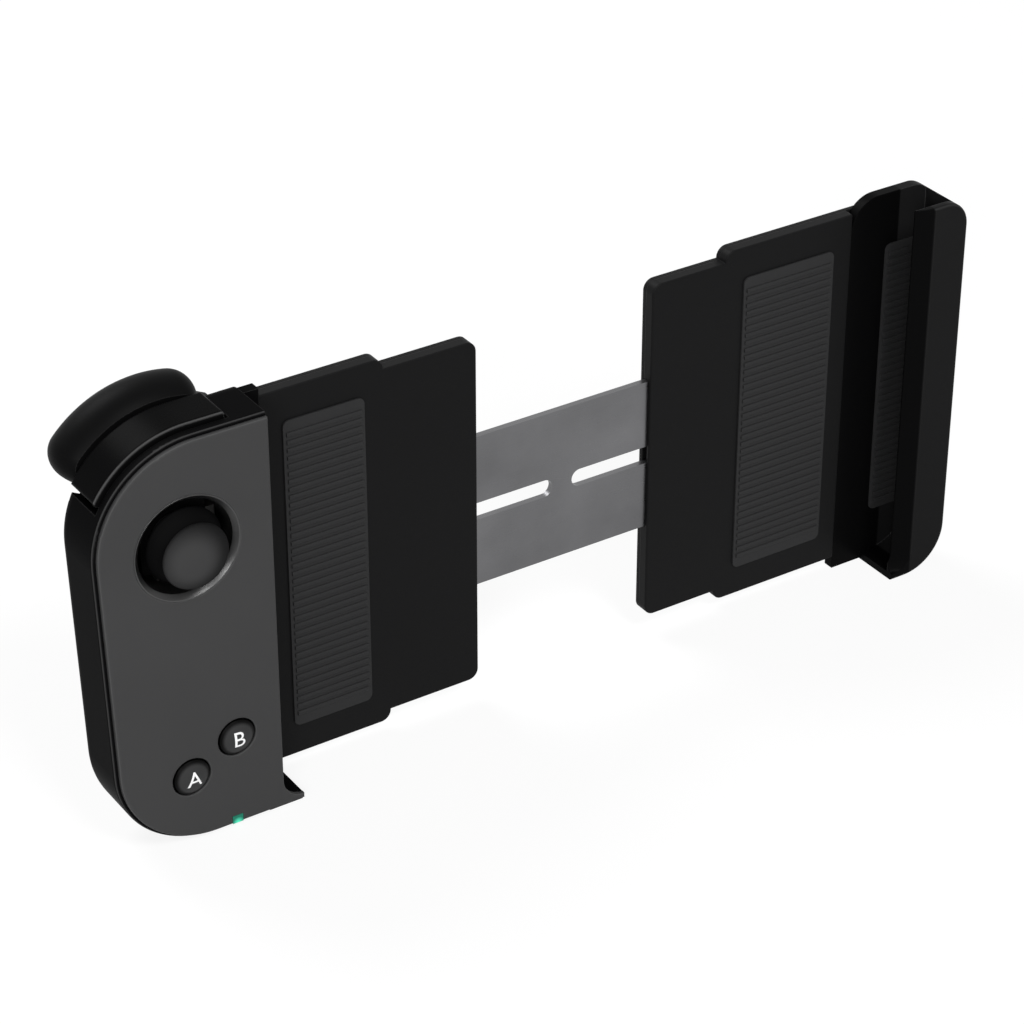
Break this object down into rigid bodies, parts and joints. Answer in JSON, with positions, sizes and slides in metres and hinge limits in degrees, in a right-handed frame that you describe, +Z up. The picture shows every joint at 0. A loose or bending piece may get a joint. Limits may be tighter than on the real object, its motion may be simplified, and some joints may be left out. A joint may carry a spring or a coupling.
{
  "type": "phone game controller",
  "caption": "Clip-on phone game controller: one rounded grip with a stick, face buttons, bumper and trigger, and a telescopic back bracket with a clamp.",
  "frame": {"origin": "centre of the footprint on the surface that the part stands on", "axes": "+X from the grip along the phone to the clamp, +Y to the back, +Z up"},
  "size_m": [0.1771, 0.0264, 0.0811],
  "materials": {
    "panel_grey": "fine matte",
    "shell_black": "satin",
    "clamp_black": "satin",
    "bracket_black": "matte",
    "bumper_black": "satin",
    "trigger_black": "satin",
    "ring_gloss": "polished",
    "button_gloss": "polished",
    "cap_rubber": "soft matte",
    "pad_rubber": "soft matte",
    "dome_rubber": "soft matte",
    "inner_plastic": "matte",
    "board_laminate": "black solder mask",
    "battery_foil": "satin foil",
    "light_clear": "clear",
    "light_chip": "moulded lens",
    "can_steel": "satin",
    "contact_metal": "satin",
    "screw_steel": "black plated",
    "pin_steel": "ground",
    "spring_steel": "drawn wire",
    "rail_steel": "satin"
  },
  "bodies": {
    "grip": {"front_cover": "panel_grey", "rear_housing": "shell_black", "case_screws": "screw_steel", "channel_pad": "pad_rubber", "stick_well_ring": "ring_gloss", "stick_base": "can_steel", "stick_potentiometers": "inner_plastic", "stick_click_switch": "contact_metal", "button_a_dome": "dome_rubber", "button_b_dome": "dome_rubber", "bumper_pin": "pin_steel", "bumper_switch": "inner_plastic", "trigger_pin": "pin_steel", "trigger_spring": "spring_steel", "trigger_switch": "inner_plastic", "main_board": "board_laminate", "battery": "battery_foil", "battery_connector": "inner_plastic", "radio_module": "can_steel", "usb_socket": "can_steel", "status_light": "light_chip", "light_pipe": "light_clear", "power_switch": "inner_plastic", "left_bracket_plate": "bracket_black", "left_bracket_cover": "bracket_black", "left_bracket_screws": "screw_steel", "left_friction_pads": "pad_rubber", "left_plate_pad": "pad_rubber"},
    "gimbal": {"stick_gimbal": "inner_plastic"},
    "rocker": {"stick_rocker": "inner_plastic"},
    "stick": {"stick_shaft": "pin_steel", "joystick_cap": "cap_rubber"},
    "a_key": {"button_a": "button_gloss"},
    "b_key": {"button_b": "button_gloss"},
    "bumper": {"bumper_l1": "bumper_black"},
    "trigger": {"trigger_l2": "trigger_black"},
    "power": {"power_key": "button_gloss"},
    "rail": {"slide_rail": "rail_steel"},
    "clamp": {"right_bracket_plate": "bracket_black", "right_bracket_cover": "bracket_black", "right_bracket_screws": "screw_steel", "right_friction_pads": "pad_rubber", "right_plate_pad": "pad_rubber", "clamp_body": "clamp_black", "clamp_end_pad": "pad_rubber", "clamp_back_pad": "pad_rubber"}
  },
  "joints": [
    {"name": "stick_tilt_up_down", "type": "hinge", "parent": "grip", "child": "gimbal", "pos_m": [-0.07195, -0.00275, 0.0577], "axis": [1, 0, 0], "range_deg": [-15, 15], "stiffness_Nm_per_rad": 0.06},
    {"name": "stick_tilt_sideways", "type": "hinge", "parent": "gimbal", "child": "rocker", "pos_m": [-0.07195, -0.00275, 0.0577], "axis": [0, 0, 1], "range_deg": [-15, 15], "stiffness_Nm_per_rad": 0.06},
    {"name": "stick_press", "type": "slide", "parent": "rocker", "child": "stick", "axis": [0, 1, 0], "range_m": [0, 0.0004], "stiffness_N_per_m": 2000},
    {"name": "button_a_press", "type": "slide", "parent": "grip", "child": "a_key", "axis": [0, 1, 0], "range_m": [0, 0.0009], "stiffness_N_per_m": 900, "deforming": ["button_a_dome"]},
    {"name": "button_b_press", "type": "slide", "parent": "grip", "child": "b_key", "axis": [0, 1, 0], "range_m": [0, 0.0009], "stiffness_N_per_m": 900, "deforming": ["button_b_dome"]},
    {"name": "bumper_press", "type": "hinge", "parent": "grip", "child": "bumper", "pos_m": [-0.06345, 0, 0.0719], "axis": [0, -1, 0], "range_deg": [0, 2.2], "stiffness_Nm_per_rad": 0.8},
    {"name": "trigger_pull", "type": "hinge", "parent": "grip", "child": "trigger", "pos_m": [-0.06325, 0, 0.0691], "axis": [0, -1, 0], "range_deg": [0, 5], "stiffness_Nm_per_rad": 0.35},
    {"name": "power_press", "type": "slide", "parent": "grip", "child": "power", "axis": [0, -1, 0], "range_m": [0, 0.0003], "stiffness_N_per_m": 3000},
    {"name": "bracket_slide", "type": "slide", "parent": "grip", "child": "clamp", "axis": [1, 0, 0], "range_m": [-0.036, 0.014]},
    {"name": "rail_slide", "type": "slide", "parent": "grip", "child": "rail", "axis": [1, 0, 0], "range_m": [-0.018, 0.007]}
  ],
  "couplings": [
    {"joint": "rail_slide", "follows": "bracket_slide", "ratio": 0.5}
  ]
}
